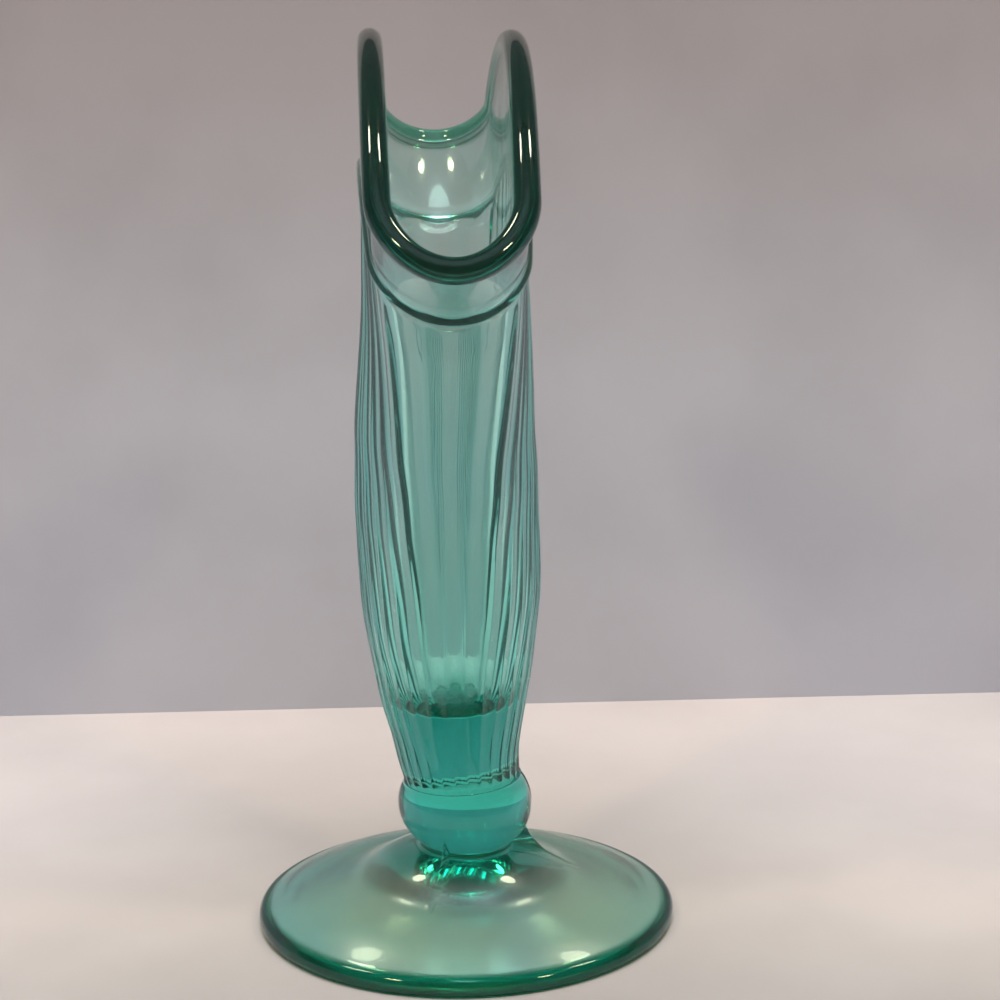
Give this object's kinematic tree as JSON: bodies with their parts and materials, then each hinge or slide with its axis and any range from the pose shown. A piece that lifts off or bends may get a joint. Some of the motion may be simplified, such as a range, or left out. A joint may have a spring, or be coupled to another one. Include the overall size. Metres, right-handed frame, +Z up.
{
  "type": "fan vase",
  "caption": "Footed fan vase of green glass, squeezed flat and flared to an arched rim over a fluted bowl, a knop and a round foot.",
  "frame": {"origin": "centre of the round foot, on the surface that the vase stands on", "axes": "+Z up the vase's axis, X along the wide way of the fan, Y along its thin way"},
  "size_m": [0.1674, 0.092, 0.1967],
  "materials": {
    "thick_green_glass": "pressed green glass with a thin iridescent lustre, thick stretches",
    "thin_green_glass": "pressed green glass with a thin iridescent lustre, thin walls",
    "polished_rim_glass": "fire-polished green glass"
  },
  "bodies": {
    "root": {"foot": "thick_green_glass", "knop": "thick_green_glass", "bowl_base": "thick_green_glass", "ribbed_bowl": "thin_green_glass", "raised_line": "thin_green_glass", "plain_band": "thin_green_glass", "rim_bead": "polished_rim_glass", "mould_seams": "thick_green_glass"}
  },
  "joints": []
}
